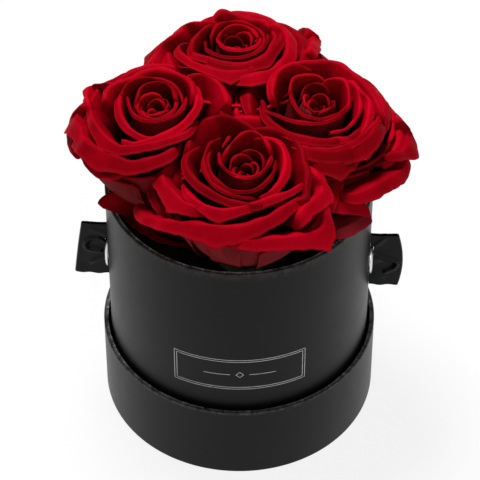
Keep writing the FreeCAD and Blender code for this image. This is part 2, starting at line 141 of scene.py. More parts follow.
def grid_normals(points):
    first = np.gradient(points, axis=0)
    second = np.gradient(points, axis=1)
    return unit(np.cross(first, second) + 1e-12)


def thin_shell(points, thickness):
    """Closed shell about a grid of points: vertices, faces, and 1 for each face of the far side."""
    rows, columns, _ = points.shape
    offset = grid_normals(points) * (np.asarray(thickness) / 2)[..., None]
    near, far = (points + offset).reshape(-1, 3), (points - offset).reshape(-1, 3)
    count = rows * columns
    quads = grid_faces(rows, columns)
    number = np.arange(count).reshape(rows, columns)
    border = np.concatenate([number[:, 0], number[-1, 1:], number[-2::-1, -1], number[0, -2:0:-1]])
    after = np.roll(border, -1)
    edge = np.stack([border, after, after + count, border + count], 1)
    faces = np.concatenate([quads, quads[:, ::-1] + count, edge[:, ::-1]])
    sides = np.concatenate([np.zeros(len(quads)), np.ones(len(quads)), np.zeros(len(edge))])
    return np.concatenate([near, far]), faces, sides


def ripple(position, waves):
    """Sum of a few sine waves with steady random phases, about -1 to 1."""
    total = 0
    for wave in waves:
        total = total + np.sin(2 * np.pi * (position * wave + rng.random()))
    return total / len(waves)


# Materials

class Shader:
    """Nodes of a material or the world, with a few short calls to add and join them."""

    def __init__(self, name, world=None):
        self.material = world or bpy.data.materials.new(name)
        self.material.use_nodes = True
        self.tree = self.material.node_tree
        self.surface = self.tree.nodes["Background" if world else "Principled BSDF"]

    def add(self, kind, sockets=None, **settings):
        node = self.tree.nodes.new("ShaderNode" + kind)
        for key, value in settings.items():
            setattr(node, key, value)
        for key, value in (sockets or {}).items():
            self.put(node.inputs[key], value)
        return node

    def put(self, socket, value):
        if isinstance(value, bpy.types.NodeSocket):
            self.tree.links.new(value, socket)
        else:
            socket.default_value = value

    def set(self, **sockets):
        for key, value in sockets.items():
            self.put(self.surface.inputs[key.replace("_", " ")], value)

    def attribute(self, name):
        return self.add("Attribute", attribute_name=name).outputs["Fac"]

    def place(self):
        return self.add("TexCoord").outputs["Object"]

    def scaled(self, vector, scale):
        return self.add("Mapping", {"Vector": vector, "Scale": scale}).outputs["Vector"]

    def noise(self, vector, scale, detail=4.0, roughness=0.55):
        sockets = {"Vector": vector, "Scale": scale, "Detail": detail, "Roughness": roughness}
        return self.add("TexNoise", sockets).outputs["Fac"]

    def ramp(self, value, stops):
        node = self.add("ValToRGB", {"Fac": value})
        ends = node.color_ramp.elements
        while len(ends) < len(stops):
            ends.new(0.5)
        for end, (position, colour) in zip(ends, stops):
            end.position = position
            end.color = (*colour, 1.0) if len(colour) == 3 else colour
        return node.outputs["Color"]

    def between(self, value, low, high):
        """A texture value brought from 0..1 to low..high."""
        return self.add("MapRange", {"Value": value, "To Min": low, "To Max": high}).outputs["Result"]

    def mix(self, share, first, second):
        sockets = {"Factor": share, "A": first, "B": second}
        return self.add("Mix", sockets, data_type="RGBA").outputs["Result"]

    def math(self, operation, first, second):
        return self.add("Math", {0: first, 1: second}, operation=operation).outputs["Value"]

    def times(self, first, second):
        return self.math("MULTIPLY", first, second)

    def bump(self, height, strength, distance=0.1):
        sockets = {"Height": height, "Strength": strength, "Distance": distance * MM}
        return self.add("Bump", sockets).outputs["Normal"]

    def show(self, kind, brightness, share, output):
        """Shows a plain brightness, by a share, to rays that see the background itself."""
        path = self.add("LightPath").outputs
        seen = self.math("MAXIMUM", path["Is Camera Ray"], path["Is Glossy Ray"])
        seen = self.math("MAXIMUM", seen, path["Is Transmission Ray"])
        plain = self.add(kind, {"Color": (*grey(brightness), 1.0), "Strength": 1.0})
        shaders = {0: self.times(seen, share), 1: self.surface.outputs[0], 2: plain.outputs[0]}
        self.put(self.tree.nodes[output].inputs[0], self.add("MixShader", shaders).outputs[0])


def grey(value):
    return (value, value, value)


# Light grey of the painted highlight on the paper's rim edges.
RIM_HIGHLIGHT_GREY = 0.95


def paper_material(name, dark, light, roughness):
    """Soft-touch coated paper: nearly even, with a faint mottle, a fine fibre grain, and a light grey
    painted highlight where the mesh's attribute marks the rim edges.
    """
    s = Shader(name)
    mottle = s.noise(s.place(), 60.0, 5.0)
    grain = s.noise(s.place(), 2600.0, 3.0)
    body = s.ramp(mottle, [(0.3, grey(dark)), (0.7, grey(light))])
    # Painted highlight: light grey mixed in, broken up by noise, where the attribute marks the rim edges.
    highlight_breakup = s.ramp(s.noise(s.place(), 420.0, 3.0), [(0.35, grey(0.15)), (0.65, grey(1.0))])
    highlight_share = s.times(s.attribute("rim_highlight"), highlight_breakup)
    s.set(
        Base_Color=s.mix(highlight_share, body, (*grey(RIM_HIGHLIGHT_GREY), 1.0)),
        Roughness=s.between(s.noise(s.place(), 160.0), roughness - 0.04, roughness + 0.04),
        Normal=s.bump(grain, 0.12, 0.05),
        Specular_IOR_Level=0.14,
    )
    return s.material


def grained(name, stretch, detail, colours, roughness, bump=None, metallic=0.0, fineness=0.55):
    """Material whose one grain carries the colour, and where given the roughness and the relief."""
    s = Shader(name)
    grain = s.noise(s.scaled(s.place(), stretch), 1.0, detail, fineness)
    rough = s.between(grain, *roughness) if isinstance(roughness, tuple) else roughness
    s.set(Base_Color=s.ramp(grain, colours), Roughness=rough, Metallic=metallic)
    if bump:
        s.set(Normal=s.bump(grain, *bump))
    return s.material


def satin_material():
    """Black satin: fine warp lines, soft sheen along the folds."""
    s = Shader("satin")
    place = s.place()
    lines = {"Vector": s.scaled(place, (1, 1, 3200)), "Scale": 1.0, "Distortion": 0.3}
    warp = s.add("TexWave", lines, bands_direction="Z").outputs["Fac"]
    cloud = s.noise(place, 220.0)
    s.set(
        Base_Color=s.ramp(cloud, [(0.3, grey(0.002)), (0.7, grey(0.004))]),
        Roughness=s.between(warp, 0.3, 0.38),
        Normal=s.bump(warp, 0.08, 0.03),
        Specular_IOR_Level=0.12,
    )
    return s.material


def foam_material():
    """Dry floral foam with open cells."""
    s = Shader("foam")
    cells = s.add("TexVoronoi", {"Vector": s.place(), "Scale": 1400.0}).outputs["Distance"]
    s.set(
        Base_Color=s.ramp(cells, [(0.0, (0.006, 0.008, 0.006)), (0.8, (0.02, 0.026, 0.018))]),
        Roughness=0.95,
        Normal=s.bump(cells, 0.6, 0.3),
    )
    return s.material


def petal_material(name, deep, full, edge, root_shade_colour, root_shade_strength, vein_strength, roughness):
    """Velvety petal: veins that run to the rim, cloudy colour, painted shade that darkens it towards the
    base, and a painted highlight in a lighter colour along the margin.
    """
    s = Shader(name)
    along, across, tone = s.attribute("along"), s.attribute("across"), s.attribute("tone")
    fan = {"X": s.times(across, 46.0), "Y": s.times(along, 2.2), "Z": s.times(tone, 40.0)}
    fan = s.add("CombineXYZ", fan).outputs["Vector"]
    veins = s.noise(fan, 1.0, 4.0, 0.6)
    cloud = s.noise(s.place(), 90.0, 4.0)
    velvet = s.noise(s.place(), 5200.0, 2.0)
    depth = s.math("ADD", s.times(cloud, 0.55), s.times(tone, 0.45))
    body = s.ramp(depth, [(0.25, deep), (0.75, full)])
    veined = s.mix(s.times(s.between(veins, 1.0, 0.0), vein_strength), body, (*deep, 1.0))
    # Painted highlight: the lighter edge colour is mixed in along the last stretch of the margin.
    margin = s.add("MapRange", {"Value": along, "From Min": 0.955, "From Max": 1.0}).outputs["Result"]
    # Painted shade: the colour darkens towards the petal's base, where the petals shade one another.
    root_shade_fade = {"Value": along, "From Min": 0.5, "From Max": 0.9, "To Min": 1.0, "To Max": 0.0}
    root_shade_share = s.add("MapRange", root_shade_fade, interpolation_type="SMOOTHSTEP").outputs["Result"]
    shaded = s.mix(s.times(root_shade_share, root_shade_strength), veined, (*root_shade_colour, 1.0))
    s.set(
        Base_Color=s.mix(s.times(margin, 0.35), shaded, (*edge, 1.0)),
        Roughness=s.between(cloud, roughness - 0.06, roughness + 0.06),
        Normal=s.bump(s.math("ADD", veins, s.times(velvet, 0.3)), 0.45, 0.3),
        Specular_IOR_Level=0.02,
    )
    return s.material


WRAP_PAPER = paper_material("wrap_paper", 0.0018, 0.0026, 0.4)
LINING_PAPER = paper_material("lining_paper", 0.002, 0.003, 0.6)
# Raw board with pulp fibres, nickel-plated metal, dried stems with lengthwise fibres, and silver foil
GREY_BOARD = grained(
    "grey_board", (500, 500, 1800), 8.0, [(0.3, (0.14, 0.13, 0.11)), (0.7, (0.27, 0.25, 0.22))],
    roughness=0.9, bump=(0.4, 0.1), fineness=0.7)
METAL = grained(
    "eyelet_metal", (900, 2600, 2600), 6.0, [(0.3, (0.66, 0.66, 0.67)), (0.7, (0.82, 0.82, 0.83))],
    roughness=(0.16, 0.3), metallic=1.0)
STEM = grained(
    "stem_green", (900, 900, 60), 6.0, [(0.3, (0.02, 0.045, 0.012)), (0.7, (0.06, 0.1, 0.03))],
    roughness=(0.5, 0.65), bump=(0.3, 0.15))
FOIL = grained(
    "foil", (900, 900, 900), 4.0, [(0.35, grey(0.45)), (0.65, grey(0.6))],
    roughness=(0.35, 0.5), metallic=0.6)
SATIN = satin_material()
FOAM = foam_material()
# In both petal materials, the darker colour towards the base is painted shade, and the lighter edge colour
# is a painted highlight along the margin.
PETAL_FACE = petal_material(
    "petal_face", deep=(0.18, 0.0, 0.003), full=(0.56, 0.0, 0.013), edge=(0.6, 0.008, 0.02),
    root_shade_colour=(0.026, 0.0, 0.0006), root_shade_strength=0.92, vein_strength=0.55, roughness=0.62)
PETAL_BACK = petal_material(
    "petal_back", deep=(0.12, 0.006, 0.009), full=(0.3, 0.016, 0.022), edge=(0.4, 0.002, 0.01),
    root_shade_colour=(0.14, 0.012, 0.014), root_shade_strength=0.4, vein_strength=0.8, roughness=0.7)


# Box and lid

def round_corner(line, middle, height, first, last):
    """Adds a rounded edge about a centre, from one angle to another."""
    for a in np.radians(np.linspace(first, last, CORNER_POINTS)):
        line.append((middle + ROUND_EDGE * math.cos(a), height + ROUND_EDGE * math.sin(a)))


def revolved(radius, height, angle):
    return np.stack([radius * np.cos(angle), radius * np.sin(angle), height + 0 * angle], -1)


def wrap_profile(radius, foot, rim):
    """Outer line of the wrapped paper from the foot to the end of the turn-in, as radius and height."""
    inner = radius - BOARD - 2 * PAPER
    line = [(radius - FOOT_TURN_IN, foot)]
    round_corner(line, radius - ROUND_EDGE, foot + ROUND_EDGE, -90, 0)
    for share in WALL_SHARES:
        line.append((radius, foot + share * (rim - foot)))
    round_corner(line, radius - ROUND_EDGE, rim - ROUND_EDGE, 0, 90)
    round_corner(line, inner + ROUND_EDGE, rim - ROUND_EDGE, 90, 180)
    for depth in TURN_IN_DEPTHS:
        line.append((inner, rim - depth))
    return np.array(line)


WRAP_STEPS = 1080
# Width and depth of the painted highlight at the rim edges, and its strength at the notches and on flatter
# flaps.
HIGHLIGHT_WIDTH, HIGHLIGHT_DEPTH = 0.55, 0.1
NOTCH_SHARE, NOTCH_DEPTH, NOTCH_HIGHLIGHT, NOTCH_REACH = 0.035, 0.22, 0.8, 3.0
NOTCH_DRIFT = 0.35
FLAP_LIFT, FLAP_SLOPE, FLAP_RISE, FLAP_HIGHLIGHT = 0.10, 0.10, 0.6, 0.55
RIM_ZONE = 1.0
PAPER_SHARE = 0.9


def wrap_paper(name, radius, foot, rim, node, body, inner_highlight_strength, outer_highlight_strength):
    """Paper skin of the box or lid, whose turned-in flaps lie a little unevenly, with a painted highlight
    along its rim edges and at the flaps' notches.
    """
    profile = wrap_profile(radius, foot, rim)
    angle = np.arange(WRAP_STEPS) * 2 * np.pi / WRAP_STEPS
    points = np.zeros((len(profile), WRAP_STEPS, 3))
    rim_highlight = np.zeros((len(profile), WRAP_STEPS))
    flap = angle / (2 * np.pi) * NOTCHES + NOTCH_DRIFT * np.sin(3 * angle)
    in_flap = flap % 1.0
    flap_number = np.floor(flap).astype(int) % NOTCHES
    lift = rng.uniform(0.0, 1.0, NOTCHES)[flap_number]
    slope = rng.uniform(-1.0, 1.0, NOTCHES)[flap_number]
    gap = np.exp(-((np.minimum(in_flap, 1 - in_flap) / NOTCH_SHARE) ** 2))
    inner = radius - BOARD - 2 * PAPER
    for row, (r, z) in enumerate(profile):
        turned = smooth_step(radius - ROUND_EDGE, inner + ROUND_EDGE, r) * (z > foot + TURN_IN / 2)
        proud = turned * (FLAP_LIFT * lift + FLAP_SLOPE * slope * (in_flap - 0.5) - NOTCH_DEPTH * gap)
        rise = turned * (z > rim - RIM_ZONE)
        radial = r - proud * (1 - rise)
        height = z + proud * rise * FLAP_RISE
        points[row] = revolved(radial, height, angle)
        # Painted highlight: lighter along the inner and outer rim edges and at the notches, weaker on flaps
        # that lie flatter.
        below = z - rim + HIGHLIGHT_DEPTH
        inner_highlight = math.exp(-(math.hypot(r - inner - HIGHLIGHT_DEPTH, below) / HIGHLIGHT_WIDTH) ** 2)
        outer_highlight = math.exp(-(math.hypot(r - radius + HIGHLIGHT_DEPTH, below) / HIGHLIGHT_WIDTH) ** 2)
        notch_highlight = NOTCH_HIGHLIGHT * gap * turned * (z > rim - NOTCH_REACH)
        inner_highlight = inner_highlight * (FLAP_HIGHLIGHT + (1 - FLAP_HIGHLIGHT) * lift)
        rim_highlight[row] = inner_highlight_strength * (inner_highlight + notch_highlight) + outer_highlight_strength * outer_highlight
    shift = np.gradient(profile, axis=0)
    shift = unit(np.stack([-shift[:, 1], shift[:, 0]], 1)) * PAPER_SHARE * PAPER
    base = profile + shift
    back = revolved(base[:, :1], base[:, 1:], angle[None])
    loop = np.concatenate([points, back[::-1]])
    faces = grid_faces(len(loop), WRAP_STEPS, close_rows=True, close_columns=True)[:, ::-1]
    rim_highlight = np.clip(np.concatenate([rim_highlight, 0 * rim_highlight]), 0, 1).ravel()
    loop = loop.reshape(-1, 3)
    piece = add_piece(name, loop, faces, [WRAP_PAPER], body, attributes={"rim_highlight": rim_highlight})
    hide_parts(node)


FOIL_SUNK = -0.05
FOIL_STAND = 0.05
FOIL_LINE = 0.24
LABEL_CENTRE = (2.7, 58.8)
LABEL_HALF = (28.0, 8.8)
LABEL_INSET = 1.1
LOZENGE = 1.6
RULE_ENDS = (4.0, 15.0)
FOIL_STEP = 1.2


def on_wall(across, height, stand):
    """Point on the box's wall, an arc length across from the front and a height up, standing proud of it."""
    return revolved(BOX_RADIUS + stand, height, across / BOX_RADIUS - math.pi / 2)


def foil_line(corners, width, closed=True):
    """Thin raised line of foil through points (across, height) on the wall."""
    corners = np.array(corners, float)
    ends = np.roll(corners, -1, 0) if closed else corners[1:]
    starts = corners if closed else corners[:-1]
    verts, faces = [], []
    for start, end in zip(starts, ends):
        along = unit(end - start)
        side = np.array((-along[1], along[0])) * width / 2
        first, last = start - along * width / 2, end + along * width / 2
        count = max(2, int(np.linalg.norm(last - first) / FOIL_STEP) + 1)
        ring = len(verts)
        for share in np.linspace(0, 1, count):
            middle = first + (last - first) * share
            left, right = middle + side, middle - side
            verts += [on_wall(*left, FOIL_SUNK), on_wall(*left, FOIL_STAND)]
            verts += [on_wall(*right, FOIL_STAND), on_wall(*right, FOIL_SUNK)]
        quads = grid_faces(count, 4, close_columns=True) + ring
        cap = ring + np.arange(4)
        faces += [*quads, cap, cap[::-1] + 4 * (count - 1)]
    return verts, faces


def on_label(*places):
    """Points (across, height) on the wall from places measured from the label's centre."""
    return [(LABEL_CENTRE[0] + x, LABEL_CENTRE[1] + y) for x, y in places]


def plain_frame(inset):
    """Corners of a frame on the label, set in from the outermost one."""
    w, h = LABEL_HALF[0] - inset, LABEL_HALF[1] - inset
    return on_label((w, h), (-w, h), (-w, -h), (w, -h))


def make_label():
    """Plain foil ornament on the front: a double frame, and a lozenge between two rules."""
    lines = [
        (plain_frame(0.0), True),
        (plain_frame(LABEL_INSET), True),
        (on_label((LOZENGE, 0), (0, LOZENGE), (-LOZENGE, 0), (0, -LOZENGE)), True),
        (on_label(*((x, 0) for x in RULE_ENDS)), False),
        (on_label(*((-x, 0) for x in RULE_ENDS)), False),
    ]
    verts, faces = [], []
    for corners, closed in lines:
        more, quads = foil_line(corners, FOIL_LINE, closed)
        faces += (np.array(quads) + len(verts)).tolist()
        verts += more
    add_piece("label_foil", verts, faces, [FOIL], "box")


# Ribbons: each is a band of satin folded flat into a loop that stands on edge, from the wall outwards

RIBBON_WIDTH = 29.0
RIBBON_CLOTH = 0.3
RIBBON_GAP = 0.75
EYELET_HEIGHT = 74.0
FLANGE_ROOM = (1.4, 6.9, 8.0)
WALL_ROOM = 0.06
LEAST_GAP = 0.25
FOLD_EASE = (0.02, 0.22)
HEM_WAVE, HEM_PITCH, HEM_SHARE = 0.25, 0.9, 0.6
SAG = 0.175
RIBBON_ROWS, RIBBON_COLUMNS = 121, 81
KNOT_NECK, KNOT_LEAST, KNOT_FILL = 3.325, 3.15, 0.96
KNOT_ROOM, KNOT_WAIST, KNOT_END = 0.15, 1.6, 1.2
KNOT_TWIST = (1.6, 0.3)
KNOT_PLEATS, PLEAT_DEPTH = 9, 0.14
KNOT_ROWS, KNOT_COLUMNS = 72, 144

# How far each is raised, its reach from the wall at the top, bottom and middle, folds as lines of (out, up)
# with a height and a width, and dents as (out, up, half length, half height, depth)
RIBBONS = {
    "left": {
        "side": -1, "raised": 0.8, "reach": (10.9, 14.7, 13.0),
        "folds": [
            ([(1.0, 4.2), (4.0, 6.8), (7.5, 6.4), (9.3, 4.4), (9.8, 2.1), (9.2, 0.4), (7.8, -0.5),
              (3.5, -0.9)], 1.0, 0.9),
            ([(1.5, -4.4), (4.5, -5.8), (7.3, -7.9)], 0.45, 0.9),
            ([(2.0, 9.5), (6.0, 11.5)], 0.25, 1.6),
        ],
        "dents": [(4.2, 3.0, 3.6, 2.4, 0.9), (10.5, -9.0, 3.0, 4.0, 0.3)],
    },
    "right": {
        "side": 1, "raised": -1.0, "reach": (11.6, 12.4, 13.8),
        "folds": [
            ([(1.5, 4.0), (4.0, 2.4), (7.5, 1.0), (10.8, 0.2), (12.0, -1.6), (10.2, -4.4),
              (7.0, -6.2)], 1.0, 1.0),
            ([(2.0, 8.6), (4.0, 11.2), (5.6, 13.2)], 0.4, 1.0),
            ([(2.0, -6.5), (6.0, -9.0)], 0.3, 1.4),
        ],
        "dents": [(6.5, -2.6, 4.0, 2.2, 0.8), (3.0, 7.0, 2.6, 2.0, 0.3)],
    },
}


def line_distance(line, x, y):
    """Distance of points from a line through several corners."""
    nearest = np.full(x.shape, 1e9)
    for (ax, ay), (bx, by) in zip(line, line[1:]):
        share = ((x - ax) * (bx - ax) + (y - ay) * (by - ay)) / ((bx - ax) ** 2 + (by - ay) ** 2)
        share = np.clip(share, 0, 1)
        nearest = np.minimum(nearest, np.hypot(x - ax - share * (bx - ax), y - ay - share * (by - ay)))
    return nearest


def ribbon_grid(loop):
    """Points of a ribbon's middle surface: round the loop along its rows, from bottom to top in each."""
    along, across = np.meshgrid(
        np.linspace(-1, 1, RIBBON_ROWS), np.linspace(-1, 1, RIBBON_COLUMNS), indexing="ij")
    top, foot, middle = loop["reach"]
    up = across * RIBBON_WIDTH / 2
    mean = 0.5 * (top + foot)
    reach = mean + 0.5 * (top - foot) * across + (middle - mean) * (1 - across ** 2)
    stand, flat, clear = FLANGE_ROOM
    start = WALL_ROOM + stand * (1 - smooth_step(flat, clear, np.abs(up + loop["raised"])))
    back = np.abs(along)
    length = reach - start
    fold = RIBBON_GAP / length
    round_share = np.clip(back / fold, 0, 1)
    out = start + length * (1 - back)
    gap = RIBBON_GAP * np.sqrt(1 - (1 - round_share) ** 2)
    relief = 0
    for line, height, width in loop["folds"]:
        relief = relief + height * np.exp(-(line_distance(line, out, up) / width) ** 2)
    for dent_out, dent_up, half_out, half_up, depth in loop["dents"]:
        away = ((out - dent_out) / half_out) ** 2 + ((up - dent_up) / half_up) ** 2
        relief = relief - depth * np.exp(-away)
    relief = np.maximum(relief, LEAST_GAP - RIBBON_GAP) * smooth_step(*FOLD_EASE, back)
    wavy = HEM_WAVE * np.sin(HEM_PITCH * out + 0.5) * smooth_step(HEM_SHARE, 1.0, -across)
    sag = SAG * np.sin(np.pi * np.clip(out / reach, 0, 1) * 1.5) * np.abs(across) ** 3
    depth = np.sign(along) * (gap + relief)
    x = loop["side"] * (BOX_RADIUS + out)
    points = np.stack([x, depth, EYELET_HEIGHT + loop["raised"] + up + wavy - sag], -1)
    return points[:, ::-1] if loop["side"] > 0 else points


def make_ribbon(name):
    loop = RIBBONS[name]
    points = ribbon_grid(loop)
    shell, faces, _ = thin_shell(points, np.full(points.shape[:2], RIBBON_CLOTH))
    piece = add_piece(name + "_ribbon", shell, faces, [SATIN])
    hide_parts(name + "_ribbon_loop")
    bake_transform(piece)


def make_knot(name):
    """Gathered neck and knot of the ribbon, pleated along its length."""
    node = name + "_ribbon_knot"
    low, high = (np.array(corner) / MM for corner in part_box(node))
    side = RIBBONS[name]["side"]
    inner, outer = (low[0], high[0]) if side > 0 else (-high[0], -low[0])
    ball = 0.5 * (high[2] - low[2])
    rows, columns = KNOT_ROWS, KNOT_COLUMNS
    t = np.linspace(0, 1, rows)[:, None]
    turn = np.linspace(0, 2 * np.pi, columns, endpoint=False)[None]
    x = inner + KNOT_ROOM + (outer - inner - 2 * KNOT_ROOM) * t
    round_part = np.sqrt(np.maximum(1 - ((x - inner - ball) / ball) ** 2, 0.0)) * ball * KNOT_FILL
    waist = inner + 2 * ball - KNOT_WAIST
    radius = np.where(x < waist, np.maximum(round_part, KNOT_LEAST), KNOT_NECK)
    radius = radius * np.sqrt(np.clip((outer - x) / KNOT_END, 0.02, 1))
    twist = KNOT_TWIST[0] * t + KNOT_TWIST[1] * np.sin(5 * t)
    pleat = np.abs(np.sin(0.5 * KNOT_PLEATS * (turn + twist)))
    radius = radius * (1 - PLEAT_DEPTH + PLEAT_DEPTH * pleat)
    y, z = radius * np.cos(turn), EYELET_HEIGHT + radius * np.sin(turn)
    points = np.stack([side * x + 0 * turn, y, z], -1)
    ends = np.array([(side * x[0, 0], 0, EYELET_HEIGHT), (side * x[-1, 0], 0, EYELET_HEIGHT)])
    faces = grid_faces(rows, columns, close_columns=True).tolist()
    count = rows * columns
    last = (rows - 1) * columns
    for k in range(columns):
        after = (k + 1) % columns
        faces.append([count, k, after])
        faces.append([count + 1, last + after, last + k])
    faces = [face[::-1] for face in faces] if side < 0 else faces
    points = np.concatenate([points.reshape(-1, 3), ends])
    piece = add_piece(name + "_knot", points, faces, [SATIN], "box")
    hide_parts(node)


# Roses. The crests of the petals that show lie where the photograph has them, at the height of a dome
# over each rose, and the rest are placed by direction and radius.

ROSES = {
    "front_rose": (3.7, -33.5, 157.0),
    "right_rose": (31.5, 3.0, 160.0),
    "back_rose": (-3.0, 35.5, 161.0),
    "left_rose": (-34.0, -3.0, 160.0),
}
ROSE_LEAN = 8.0
BUD_HEIGHT = 40.0
DOME_RADIUS = (3.0, 5.0, 0.2)
DOME_HEIGHT = (38.0, 5.5, -0.95, -0.062)
BASE_RADIUS = (1.5, 1.4)
BASE_HEIGHT = (-13.0, -0.6)
RISE_ANGLE = (66.0, -2.5)
FLARE_ANGLE = (110.0, -12.0, -0.6)
LAST_LAYER = 6.8
DOME_FALL = 1.5


def by_layer(powers, layer):
    return sum(factor * layer ** power for power, factor in enumerate(powers))


def layer_of(radius):
    """Layer whose rim has this radius: 0 in the bud and about 6 in the outermost petals."""
    c, b, a = DOME_RADIUS
    return (-b + np.sqrt(b * b + 4 * a * (np.maximum(radius, 0.5) - c))) / (2 * a)


def dome(radius):
    """Height of the petals' crests at a radius from the rose's axis."""
    layer = np.minimum(layer_of(radius), LAST_LAYER)
    beyond = np.maximum(radius - by_layer(DOME_RADIUS, LAST_LAYER), 0)
    return by_layer(DOME_HEIGHT, layer) - DOME_FALL * beyond


SINK_SHARE, FAR_SIDE = 0.8, 12.0
SEARCH_HEIGHTS = np.linspace(190.0, 90.0, 1200)


class Rose:
    """Frame of one rose: its axis leans out of the box and its origin is at the receptacle."""

    def __init__(self, name):
        self.name = name
        bud = np.array(ROSES[name])
        self.outward = math.degrees(math.atan2(bud[1], bud[0]))
        self.axis = turned_vector(self.outward, 90.0 - ROSE_LEAN)
        side = turned_vector(self.outward + 90.0)
        self.turn = np.array(Matrix.Rotation(math.radians(ROSE_LEAN), 3, Vector(side)))
        self.origin = bud - BUD_HEIGHT * self.axis

    def to_world(self, points):
        return points @ self.turn.T + self.origin

    def to_rose(self, points):
        return (points - self.origin) @ self.turn

    def on_photo(self, x, y, lift=0.0):
        """Point under a pixel of the photograph, on the dome of crests or a little above or below it.

        On the far side of the rose a point that lies below the dome is sunk straight down.
        """
        local = self.to_rose(under_pixel(x, y, SEARCH_HEIGHTS))
        above = local[:, 2] - dome(np.hypot(local[:, 0], local[:, 1]))

        def meets(level):
            under = np.nonzero(above <= level)[0]
            return local[under[0] if len(under) else np.argmin(above)]

        place = meets(lift)
        if lift < 0:
            sunk = meets(0.0) + np.array((0, 0, SINK_SHARE * lift))
            far = smooth_step(0.0, FAR_SIDE, meets(0.0)[1])
            place = place + far * (sunk - place)
        return place


def smooth_curve(points, count):
    """Smooth line through a few points, stepped evenly."""
    points = np.asarray(points, float)
    ends = np.concatenate([2 * points[:1] - points[1:2], points, 2 * points[-1:] - points[-2:-1]])
    fine = []
    steps = np.linspace(0, 1, 24, endpoint=False)[:, None]
    for a, b, c, d in zip(ends, ends[1:], ends[2:], ends[3:]):
        fine.append(0.5 * (2 * b + (c - a) * steps + (2 * a - 5 * b + 4 * c - d) * steps ** 2
                           + (3 * b - a - 3 * c + d) * steps ** 3))
    fine = np.concatenate(fine + [points[-1:]])
    length = np.concatenate([[0], np.cumsum(np.linalg.norm(np.diff(fine, axis=0), axis=1))])
    even = np.linspace(0, length[-1], count)
    return np.stack([np.interp(even, length, fine[:, k]) for k in range(3)], 1)


def bezier(a, b, c, d, t):
    s = 1 - t
    return s ** 3 * a + 3 * s * s * t * b + 3 * s * t * t * c + t ** 3 * d


ACROSS, BODY_ROWS, ROLL_ROWS = 55, 20, 13
CRINKLE = 0.45
PETAL_THICK, MARGIN_THINNING, THIN_FROM = 0.36, 0.6, 0.9
SIDE_BEND, SIDE_WIDTH, SIDE_POWER = 0.4, 0.25, 2.5
LEAN_RANGE = (4.0, 120.0)
BODY_SHARE, SPREAD_SHARE, WAVE_FROM = 0.85, 0.55, 0.45
# Waves for each millimetre along a petal's margin
MARGIN_RIPPLE, MARGIN_WAVES = 0.06, (1 / 14, 1 / 8, 1 / 4.5)
SWELL_WAVES = (1 / 31, 1 / 19, 1 / 12)
CRINKLE_WAVES = (1 / 13, 1 / 9.5, 1 / 8)
BELLY, NECK = 0.42, 0.36
TIP_SHARPNESS = 0.16


